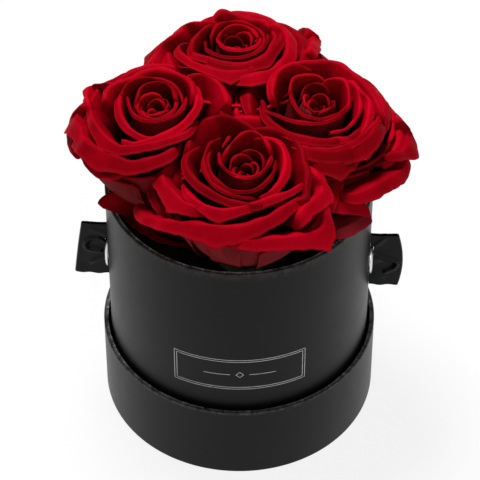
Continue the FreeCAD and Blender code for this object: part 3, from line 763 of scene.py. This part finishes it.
def petal_points(crest, bend, width, tip=None, droop=46.0, claw=0.45, flare=0.0, wave=0.4):
    """Grid of points of a petal from its base, over the crest that is given, to its rolled margin.

    Past its crest the petal bends over until it droops at an angle, and its margin lies a width further
    on. A tip is a place across the petal, -1 to 1, and the length by which the margin is drawn out there.
    The claw is the share of the petal's spread that is left at its base.
    """
    crest = smooth_curve(crest, ACROSS)
    direction = np.unwrap(np.arctan2(crest[:, 1], crest[:, 0]))
    if direction[-1] < direction[0]:
        crest, direction = crest[::-1], direction[::-1]
        tip = tip and (-tip[0], tip[1])
    radius = np.hypot(crest[:, 0], crest[:, 1])
    layer = np.clip(layer_of(radius), -0.5, LAST_LAYER)
    mean_layer = layer.mean()
    across = np.linspace(-1, 1, ACROSS)
    ease = np.sqrt(np.maximum(1 - np.abs(across) ** SIDE_POWER, 0.0))
    lean = np.radians(np.clip(by_layer(FLARE_ANGLE, layer) + flare, *LEAN_RANGE))
    bend_here = bend * (SIDE_BEND + (1 - SIDE_BEND) * ease)
    width_here = width * (SIDE_WIDTH + (1 - SIDE_WIDTH) * ease)
    if tip:
        width_here = width_here + tip[1] * np.exp(-np.abs(across - tip[0]) / TIP_SHARPNESS) * ease
    length = np.linalg.norm(np.diff(crest, axis=0), axis=1).sum()
    place = across * length / 2
    width_here = width_here * (1 + MARGIN_RIPPLE * ripple(place, MARGIN_WAVES))
    roll_here = lean + width_here / bend_here
    end_r = radius - bend_here * np.sin(lean)
    end_z = crest[:, 2] - bend_here * (1 - np.cos(lean))
    base_r, base_z = by_layer(BASE_RADIUS, mean_layer), by_layer(BASE_HEIGHT, mean_layer)
    rise = np.radians(by_layer(RISE_ANGLE, mean_layer))
    chord = np.hypot(end_r - base_r, end_z - base_z)
    t = np.linspace(0, 1, BODY_ROWS)[:, None]
    r = bezier(base_r, base_r + BELLY * chord * np.cos(rise), end_r - NECK * chord * np.cos(lean), end_r, t)
    z = bezier(base_z, base_z + BELLY * chord * np.sin(rise), end_z - NECK * chord * np.sin(lean), end_z, t)
    a = np.linspace(0, 1, ROLL_ROWS + 1)[1:, None] * roll_here
    last = lean + math.radians(droop)
    wound = np.minimum(a, last)
    straight = np.maximum(a - last, 0) * bend_here
    ahead = bend_here * np.sin(wound) + straight * np.cos(last)
    aside = bend_here * (1 - np.cos(wound)) + straight * np.sin(last)
    r = np.concatenate([r, end_r + np.cos(lean) * ahead + np.sin(lean) * aside])
    z = np.concatenate([z, end_z + np.sin(lean) * ahead - np.cos(lean) * aside])
    rows = BODY_ROWS + ROLL_ROWS
    roll = np.linspace(BODY_SHARE, 1, ROLL_ROWS + 1)[1:]
    along = np.concatenate([np.linspace(0, BODY_SHARE, BODY_ROWS), roll])
    spread = claw + (1 - claw) * np.sin(np.pi / 2 * np.minimum(1, along / SPREAD_SHARE))
    middle = 0.5 * (direction[0] + direction[-1])
    theta = middle + (direction - middle)[None] * spread[:, None]
    points = np.stack([r * np.cos(theta), r * np.sin(theta), z], -1)
    strength = wave * smooth_step(WAVE_FROM, 1.0, along)[:, None]
    swell = ripple(place[None] + 3 * along[:, None], SWELL_WAVES)
    crinkle = ripple(place[None] + 2 * along[:, None], CRINKLE_WAVES)
    points = points + grid_normals(points) * (strength * (swell + CRINKLE * crinkle))[..., None]
    return points, np.repeat(along[:, None], ACROSS, 1), np.repeat(across[None], rows, 0)


WALL_GAP = 0.6
WALL_SOFT = 4.0
RIM_SPREAD = 2.0


def keep_in_wall(points):
    """Bends petals inwards where they would cross the wall, and lets them spread above the rim."""
    limit = BOX_RADIUS - BOARD - 2 * PAPER - WALL_GAP
    limit = limit + RIM_SPREAD * np.maximum(0, points[..., 2] - BOX_RIM - WALL_GAP)
    radius = np.hypot(points[..., 0], points[..., 1])
    excess = np.maximum(radius - (limit - WALL_SOFT), 0)
    kept = np.where(excess > 0, limit - WALL_SOFT * np.exp(-excess / WALL_SOFT), radius)
    scale = kept / np.maximum(radius, 1e-6)
    return np.concatenate([points[..., :2] * scale[..., None], points[..., 2:]], -1)


CREST_TURN = np.radians(np.linspace(-80, 80, 9))
CREST_INSET = 0.06


def round_crest(direction, radius, half, drop=9.0, lift=0.0):
    """Crest of a petal that is placed by direction and radius, lower towards its sides."""
    a = np.radians(direction + half * np.sin(CREST_TURN))
    r = radius * (1 - CREST_INSET * np.sin(CREST_TURN) ** 2)
    z = dome(r) + lift - drop * (1 - np.cos(CREST_TURN))
    return np.stack([r * np.cos(a), r * np.sin(a), z], 1)


def make_group(rose, group, petals):
    """One piece for each group of petals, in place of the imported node."""
    points, faces, sides, attributes = [], [], [], {"along": [], "across": [], "tone": []}
    count = 0
    for crest, looks in petals:
        grid, along, across = petal_points(crest, **looks)
        world = keep_in_wall(rose.to_world(grid))
        thickness = PETAL_THICK * (1 - MARGIN_THINNING * smooth_step(THIN_FROM, 1.0, along))
        shell, quads, far = thin_shell(world, thickness)
        tone = rng.random()
        points.append(shell)
        faces.append(quads + count)
        sides.append(far)
        count += len(shell)
        for key, value in (("along", along), ("across", across), ("tone", 0 * along + tone)):
            attributes[key].append(np.tile(value.ravel(), 2))
    name = rose.name + "_" + group
    points, faces, sides = (np.concatenate(each) for each in (points, faces, sides))
    attributes = {key: np.concatenate(values) for key, values in attributes.items()}
    skins = [PETAL_FACE, PETAL_BACK]
    piece = add_piece(name + "_skin", points, faces, skins, "box", sides, attributes)
    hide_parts(name)


BUD = {"bend": 0.3, "width": 0.4, "wave": 0.4}
CUP = {"bend": 0.45, "width": 1.3, "wave": 0.5, "droop": 44.0}
CRESCENT = {"bend": 0.85, "width": 3.2, "wave": 0.4}
ARCH = {"bend": 1.2, "width": 3.0, "wave": 0.4, "droop": 60.0}
GUARD = {"bend": 1.2, "width": 5.6, "wave": 0.7, "claw": 0.6}
BACK = {"bend": 1.2, "width": 4.5, "wave": 0.5, "claw": 0.6}
LOW = {"bend": 1.2, "width": 2.6, "wave": 0.5, "claw": 0.7, "flare": 20.0}
RESTING = {"bend": 1.4, "width": 4.0, "wave": 0.6, "claw": 0.7, "flare": 30.0}
SKIRT = {"bend": 0.8, "width": 0.8, "wave": 0.5, "claw": 0.8, "flare": 45.0}


def tipped(looks, place, length):
    """The same looks with a pointed margin."""
    return {**looks, "tip": (place, length)}


# Crests of the petals in view, from the bud outwards: pixels x and y, and sometimes a lift in millimetres
CRESTS = {name: {} for name in ROSES}
CRESTS["front_rose"]["inner_petals"] = [
    (CUP, [(221, 166, -5), (226, 152), (235, 139), (249, 131), (261, 135), (269, 148), (272, 164, -5)]),
    (CUP, [(272, 150, -4), (269, 162), (262, 171), (252, 176), (240, 176), (229, 171), (221, 163),
        (219, 152, -4)]),
    (CUP, [(276, 160, -5), (272, 174), (262, 185), (250, 190), (234, 190), (220, 183), (211, 172),
        (208, 158), (212, 146, -4)]),
    (CUP, [(258, 199, -4), (246, 197), (229, 193), (214, 184), (206, 172), (204, 158), (210, 143),
        (220, 133, -4)]),
    (CRESCENT, [(252, 132, -5), (265, 137), (277, 141), (284, 151), (285, 166), (280, 180), (270, 191),
        (258, 198, -4)]),
]
CRESTS["front_rose"]["middle_petals"] = [
    (ARCH, [(184, 165, -8), (188, 148), (191, 135), (200, 124), (213, 117), (226, 116), (239, 120),
        (252, 127), (264, 135, -5)]),
    (ARCH, [(240, 124, -6), (262, 127), (280, 131), (292, 137), (301, 147), (304, 160), (307, 172),
        (306, 186), (305, 197), (290, 201, -2), (272, 205, -4)]),
    (CRESCENT, [(200, 142, -5), (190, 152), (186, 161), (189, 171), (197, 181), (210, 190), (226, 198),
        (243, 203), (258, 204), (274, 200, -3)]),
]
CRESTS["front_rose"]["outer_petals"] = [
    (tipped(CRESCENT, -0.2, 3.0), [(183, 184, -6), (190, 195), (203, 204), (214, 208), (228, 209),
        (246, 205), (268, 198), (290, 190), (305, 182, -3)]),
    (tipped(GUARD, 0.3, 3.0), [(176, 161, -6), (168, 166), (163, 173), (164, 181), (172, 190), (180, 198),
        (192, 205), (212, 210, -4)]),
    (tipped(GUARD, 0.12, 4.5), [(140, 204, -6), (143, 213), (160, 219), (182, 222), (205, 224), (228, 226),
        (248, 224), (268, 216), (288, 204), (304, 192, -4)]),
    (tipped(GUARD, 0.35, 6.0), [(222, 232, -5), (238, 238), (262, 238), (290, 236), (312, 232), (324, 224),
        (323, 206), (316, 190, -5)]),
    (tipped(GUARD, 0.1, 2.5), [(290, 226, -6), (298, 216), (306, 205), (317, 196), (322, 187), (316, 174),
        (306, 160, -6)]),
]
CRESTS["left_rose"]["inner_petals"] = [
    (CUP, [(134, 112, -5), (137, 98), (141, 87), (150, 82), (164, 82), (172, 88), (175, 99),
        (174, 108, -5)]),
    (CUP, [(177, 95, -5), (174, 108), (165, 115), (151, 118), (140, 112), (135, 102, -4)]),
    (CUP, [(120, 108, -5), (121, 95), (126, 84), (137, 78), (151, 77), (167, 81), (178, 90), (182, 102),
        (180, 112, -5)]),
    (CUP, [(127, 96, -4), (130, 107), (136, 116), (150, 120), (167, 117), (181, 109), (186, 97, -5)]),
    (CRESCENT, [(124, 84, -5), (120, 96), (119, 109), (124, 121), (133, 130), (146, 137), (158, 137, -4)]),
]
CRESTS["left_rose"]["middle_petals"] = [
    (CRESCENT, [(122, 140, -4), (134, 142), (150, 138), (167, 132), (181, 123), (192, 111), (197, 98),
        (195, 84, -5)]),
    (ARCH, [(102, 110, -6), (104, 99), (107, 89), (117, 82), (133, 76), (149, 69), (164, 69), (178, 73),
        (189, 80), (193, 92), (191, 106, -5)]),
    (ARCH, [(176, 71, -6), (195, 74), (213, 79), (223, 90), (226, 102), (222, 112, -6)]),
]
CRESTS["left_rose"]["outer_petals"] = [
    (tipped(CRESCENT, -0.15, 3.0), [(90, 104, -5), (92, 117), (99, 129), (111, 141), (124, 146), (142, 144),
        (162, 140), (186, 132), (197, 120, -5)]),
    (LOW, [(92, 116, -6), (87, 101), (87, 89), (94, 85), (106, 83), (118, 79, -4)]),
    (tipped(GUARD, -0.1, 3.0), [(92, 97, -6), (84, 105), (78, 112), (76, 120), (80, 128), (82, 136),
        (92, 145), (104, 150, -5)]),
    (tipped(GUARD, 0.1, 4.0), [(74, 126, -6), (82, 139), (98, 148), (116, 156), (132, 161), (150, 158),
        (170, 151), (182, 142, -5)]),
    (LOW, [(84, 138, -8), (85, 152, -2), (91, 164, -2), (101, 173, -2), (116, 175, -2), (130, 170, -6)]),
]
CRESTS["back_rose"]["inner_petals"] = [
    (CUP, [(222, 46, -4), (219, 36), (226, 27), (238, 24), (250, 28), (257, 37), (255, 46, -4)]),
    (CUP, [(262, 34, -4), (258, 43), (247, 48), (233, 49), (222, 45), (217, 36, -4)]),
    (CUP, [(212, 47, -5), (212, 34), (219, 24), (233, 20), (248, 23), (260, 30), (264, 41), (258, 52, -4)]),
    (CUP, [(205, 42, -4), (208, 50), (222, 55), (240, 56), (256, 51), (266, 42), (268, 32, -4)]),
]
CRESTS["back_rose"]["middle_petals"] = [
    (CRESCENT, [(190, 50, -4), (195, 54), (208, 57), (228, 62), (248, 62), (263, 55), (271, 46), (275, 36),
        (270, 26, -4)]),
    (CRESCENT, [(198, 62, -5), (192, 50), (194, 39), (205, 27), (216, 20, -3)]),
    (ARCH, [(207, 30, -6), (212, 20), (217, 13), (223, 10), (237, 14), (250, 18), (262, 20), (269, 26),
        (274, 36, -5)]),
]
CRESTS["back_rose"]["outer_petals"] = [
    (tipped(CRESCENT, 0.1, 2.0), [(196, 54, -4), (210, 60), (228, 65), (246, 64), (262, 58), (273, 48),
        (280, 38), (282, 28, -4)]),
    (tipped(CRESCENT, 0.45, 3.0), [(196, 44, -4), (185, 43), (179, 46), (180, 52), (190, 59), (206, 66),
        (226, 71), (244, 70), (260, 64, -4)]),
    (GUARD, [(158, 74, -6), (153, 64), (157, 54), (165, 43), (181, 31), (183, 25), (196, 22), (212, 21),
        (222, 22, -6)]),
    (GUARD, [(262, 20, -5), (276, 25), (285, 31), (288, 41), (287, 51), (281, 61), (270, 69), (256, 74),
        (240, 76), (226, 76, -3)]),
    (GUARD, [(296, 25, -5), (304, 28), (310, 32), (312, 38), (310, 48), (307, 60, -6)]),
]
CRESTS["right_rose"]["inner_petals"] = [
    (CUP, [(291, 100, -5), (291, 86), (294, 78), (303, 75), (316, 75), (324, 80), (328, 88, -4)]),
    (CUP, [(318, 86, -4), (326, 80), (337, 78), (346, 82), (349, 95), (348, 105), (340, 114, -4)]),
    (CUP, [(352, 96, -4), (347, 106), (339, 113), (328, 117), (315, 117), (302, 113), (294, 102),
        (290, 90, -4)]),
    (CUP, [(262, 100, -5), (267, 110), (277, 114), (289, 119), (303, 122), (320, 122), (336, 117),
        (347, 108), (352, 98, -4)]),
    (CRESCENT, [(276, 106, -5), (273, 95), (273, 84), (277, 73), (285, 66), (297, 63), (312, 64, -4)]),
]
CRESTS["right_rose"]["middle_petals"] = [
    (CUP, [(342, 74, -5), (353, 82), (359, 94), (360, 107), (355, 119), (345, 128), (330, 133, -4)]),
    (CRESCENT, [(338, 76, -6), (350, 81), (362, 92), (369, 99), (369, 113), (365, 127), (355, 135),
        (342, 138), (328, 139, -4)]),
    (CRESCENT, [(262, 104, -5), (267, 116), (283, 129), (302, 136), (322, 139), (343, 138), (357, 132),
        (366, 122, -4)]),
    (ARCH, [(280, 72, -6), (296, 63), (313, 61), (334, 61), (349, 69), (363, 81), (375, 97), (382, 114),
        (383, 128, -5)]),
]
CRESTS["right_rose"]["outer_petals"] = [
    (CRESCENT, [(284, 138, -5), (300, 145), (320, 148), (338, 147), (360, 135), (375, 122),
        (382, 110, -5)]),
    (tipped(GUARD, 0.1, 2.5), [(288, 140, -6), (303, 146), (319, 150), (336, 151), (352, 147), (366, 138),
        (376, 126), (382, 112, -6)]),
    (tipped(GUARD, 0.25, 2.5), [(392, 110, -6), (400, 119), (405, 128), (408, 137), (406, 147), (396, 152),
        (382, 156, -5)]),
    (GUARD, [(398, 146, -6), (404, 158), (402, 168), (387, 178), (369, 188), (352, 194), (338, 192, -6)]),
    (tipped(GUARD, 0.2, 3.0), [(300, 156, -6), (316, 159), (330, 162), (344, 160), (358, 155, -5)]),
    (GUARD, [(312, 208, -8), (324, 201, -4), (345, 201, -4), (368, 206, -4), (357, 219, -4), (338, 229, -4),
        (326, 231, -8)]),
]

# Low petals in front that rest at the rim: pixels x and y, and the height over the rim in millimetres
RIM_PETALS = {"front_rose": [
    [(158, 188, 2), (144, 187, 8), (128, 188, 11), (112, 193, 11), (103, 201, 8), (102, 209, 5)],
    [(150, 200, -4), (160, 214, -3), (178, 228, -3), (200, 236, -3), (220, 238, -6)],
    [(124, 206, -6), (134, 219, -5), (150, 231, -6), (168, 240, -7), (186, 244, -9)],
]}
# Petals out of view at the back of each rose: direction, radius and half the angle spanned
BACK_PETALS = [
    (30, 28, 46), (92, 27, 50), (152, 28, 46), (60, 32, 44), (124, 32, 44),
    (12, 35, 38), (92, 37, 42), (170, 35, 38), (52, 40, 36), (134, 40, 36),
]
BACK_LIFT, BACK_DROP = -3.5, 7.0
BACK_TURN, BACK_STAGGER, BACK_TIP_PLACE, BACK_TIP = 7, 0.9, 0.3, (1.0, 3.5)
# Petals that hang under the others all round: number, radius, half angle and how far under they lie
SKIRT_COUNT, SKIRT_RADIUS, SKIRT_HALF, SKIRT_LIFT = 9, 32.0, 34.0, -4.5
SKIRT_STAGGER = 1.5
# Petals of the bud, each turned by the golden angle from the one inside it
GOLDEN_ANGLE = 137.5
BUD_COUNT, BUD_SUNK, BUD_FIRST, BUD_STEP = 9, -3.0, 1.5, 0.74
BUD_TURN, BUD_STAGGER, BUD_HALF, BUD_DROP = 12, 0.8, (58, 74), (3, 5)
BUD_TIP_PLACE, BUD_TIP = 0.4, (0.3, 1.3)
BUD_TURNS = {"front_rose": 20.0, "right_rose": 95.0, "back_rose": 150.0, "left_rose": 250.0}


def either_way(reach):
    return rng.uniform(-reach, reach)


def bud_petals(rose):
    """Small petals wound round the middle of the bud."""
    petals = []
    for k in range(BUD_COUNT):
        radius = BUD_FIRST + BUD_STEP * k
        direction = BUD_TURNS[rose.name] + GOLDEN_ANGLE * k + either_way(BUD_TURN)
        lift = BUD_SUNK * (1 - k / BUD_COUNT) + either_way(BUD_STAGGER)
        half, drop = rng.uniform(*BUD_HALF), rng.uniform(*BUD_DROP)
        crest = round_crest(direction, radius, half, drop=drop, lift=lift)
        petals.append((crest, tipped(BUD, either_way(BUD_TIP_PLACE), rng.uniform(*BUD_TIP))))
    return petals


def make_rose(name):
    rose = Rose(name)
    make_group(rose, "bud", bud_petals(rose))
    for group, lines in CRESTS[name].items():
        petals = [(np.array([rose.on_photo(*point) for point in line]), looks) for looks, line in lines]
        if group == "outer_petals":
            for line in RIM_PETALS.get(name, []):
                crest = np.array([under_pixel(x, y, BOX_RIM + height) for x, y, height in line])
                petals.append((rose.to_rose(crest), RESTING))
            for direction, radius, half in BACK_PETALS:
                direction = direction + either_way(BACK_TURN)
                lift = BACK_LIFT + either_way(BACK_STAGGER)
                looks = tipped(BACK, either_way(BACK_TIP_PLACE), rng.uniform(*BACK_TIP))
                petals.append((round_crest(direction, radius, half, drop=BACK_DROP, lift=lift), looks))
            for k in range(SKIRT_COUNT):
                direction = rose.outward + 360.0 * k / SKIRT_COUNT
                radius = SKIRT_RADIUS + SKIRT_STAGGER * (k % 2)
                petals.append((round_crest(direction, radius, SKIRT_HALF, lift=SKIRT_LIFT), SKIRT))
        make_group(rose, group, petals)


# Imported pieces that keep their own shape

KEPT = {
    WRAP_PAPER: ["lid_panel_paper", "box_foot_paper"],
    LINING_PAPER: ["lid_lining_paper", "box_lining_paper"],
    GREY_BOARD: ["lid_panel_board", "lid_side_board", "box_floor_board", "box_side_board"],
    METAL: ["left_eyelet", "right_eyelet", "left_eyelet_washer", "right_eyelet_washer"],
    FOAM: ["foam_plug"],
    STEM: [name + piece for name in ROSES for piece in ("_calyx", "_stem")],
}


def dress(node, material):
    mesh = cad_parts[node].data
    mesh.materials.clear()
    mesh.materials.append(material)


# Camera, light and floor. A lamp has its place and size in metres and its power in watts.

LAMPS = {
    "key": ((-0.2, 0.3, 1.38), 0.4, 22.0),
    "fill": ((0.5, -0.9, 0.9), 0.8, 4.0),
}
LAMP_AIM = Vector((0, 0, 0.12))
WORLD_LIGHT, WORLD_GREY = 0.07, 0.8
FLOOR_GREY, FLOOR_GLOW, FLOOR_REACH = 0.85, 0.86, 4000.0


def make_camera():
    camera = bpy.data.cameras.new("camera")
    camera.lens = LENS
    camera.sensor_width = SENSOR
    camera.clip_start = 0.01
    holder = bpy.data.objects.new("camera", camera)
    pose = np.stack([camera_right, camera_up, camera_back, camera_at * MM], 1)
    holder.matrix_world = Matrix([*pose.tolist(), (0, 0, 0, 1)])
    bpy.context.scene.collection.objects.link(holder)
    bpy.context.scene.camera = holder


def make_lamp(name, place, size, power):
    lamp = bpy.data.lights.new(name, "AREA")
    lamp.size = size
    lamp.energy = power
    holder = bpy.data.objects.new(name, lamp)
    holder.location = place
    holder.rotation_euler = (LAMP_AIM - Vector(place)).to_track_quat("-Z", "Y").to_euler()
    bpy.context.scene.collection.objects.link(holder)


def make_world():
    world = bpy.data.worlds.new("studio")
    s = Shader("studio", world)
    s.set(Color=(1, 1, 1, 1), Strength=WORLD_LIGHT)
    s.show("Background", WORLD_GREY, 1.0, "World Output")
    bpy.context.scene.world = world


def make_floor():
    s = Shader("floor")
    s.set(Base_Color=(*grey(FLOOR_GREY), 1.0), Roughness=0.9, Specular_IOR_Level=0.0)
    s.show("Emission", 1.0, FLOOR_GLOW, "Material Output")
    r = FLOOR_REACH
    corners = [(-r, -r, 0), (r, -r, 0), (r, r, 0), (-r, r, 0)]
    floor = add_piece("floor", corners, [(0, 1, 2, 3)], [s.material])


def main():
    for material, kept in KEPT.items():
        for node in kept:
            dress(node, material)
    # The strengths given are those of the painted highlight on the inner and outer rim edges.
    wrap_paper("box_wrap", BOX_RADIUS, BOX_FOOT, BOX_RIM, "box_wrap_paper", "box",
               inner_highlight_strength=1.0, outer_highlight_strength=0.07)
    wrap_paper("lid_wrap", LID_RADIUS, LID_FOOT, LID_RIM, "lid_wrap_paper", "lid",
               inner_highlight_strength=0.58, outer_highlight_strength=0.12)
    make_label()
    for name in RIBBONS:
        make_knot(name)
        make_ribbon(name)
    for name in ROSES:
        make_rose(name)
    make_camera()
    for name, lamp in LAMPS.items():
        make_lamp(name, *lamp)
    make_world()
    make_floor()
    bpy.context.scene.view_settings.view_transform = "Standard"


main()
